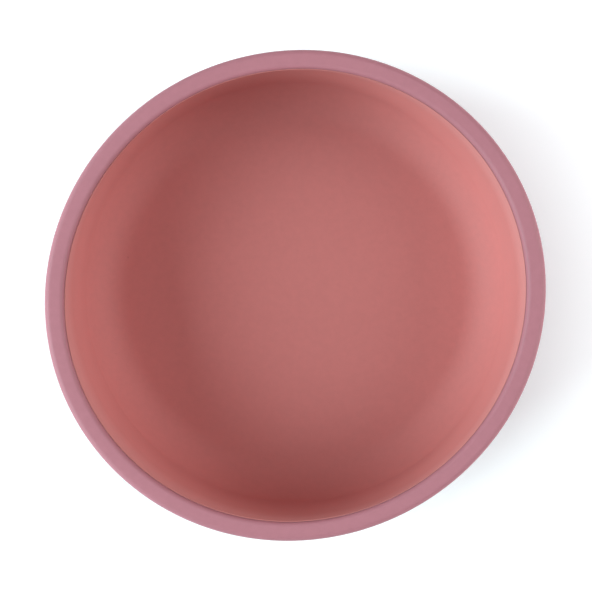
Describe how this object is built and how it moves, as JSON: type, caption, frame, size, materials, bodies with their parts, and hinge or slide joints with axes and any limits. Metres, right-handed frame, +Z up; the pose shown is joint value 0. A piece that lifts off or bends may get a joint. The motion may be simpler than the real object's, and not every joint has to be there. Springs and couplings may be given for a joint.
{
  "type": "suction bowl",
  "caption": "Round silicone feeding bowl for a baby: a thick-rimmed shell on a suction foot with a release tab, and a lift-out liner.",
  "frame": {"origin": "centre of the suction foot, on the table", "axes": "+Z up along the bowl's axis, -Y towards the release tab, which is the front"},
  "size_m": [0.1298, 0.1298, 0.053],
  "materials": {
    "liner_silicone": "satin matt silicone, coral pink",
    "shell_silicone": "soft matt silicone, dusty mauve pink",
    "suction_silicone": "smooth satin silicone, dusty mauve pink"
  },
  "bodies": {
    "base": {"suction_skirt": "suction_silicone"},
    "bowl": {"outer_shell": "shell_silicone", "suction_cup": "suction_silicone"},
    "liner": {"inner_bowl": "liner_silicone"},
    "tab": {"release_tab": "suction_silicone"}
  },
  "joints": [
    {"name": "press_down", "type": "slide", "parent": "base", "child": "bowl", "axis": [0, 0, -1], "range_m": [0, 0.0025], "stiffness_N_per_m": 2500, "springref_m": -0.001},
    {"name": "liner_lift", "type": "slide", "parent": "bowl", "child": "liner", "axis": [0, 0, 1], "range_m": [0, 0.06]},
    {"name": "tab_lift", "type": "hinge", "parent": "base", "child": "tab", "pos_m": [0, -0.0503, 0.0024], "axis": [-1, 0, 0], "range_deg": [0, 40], "stiffness_Nm_per_rad": 0.004}
  ]
}
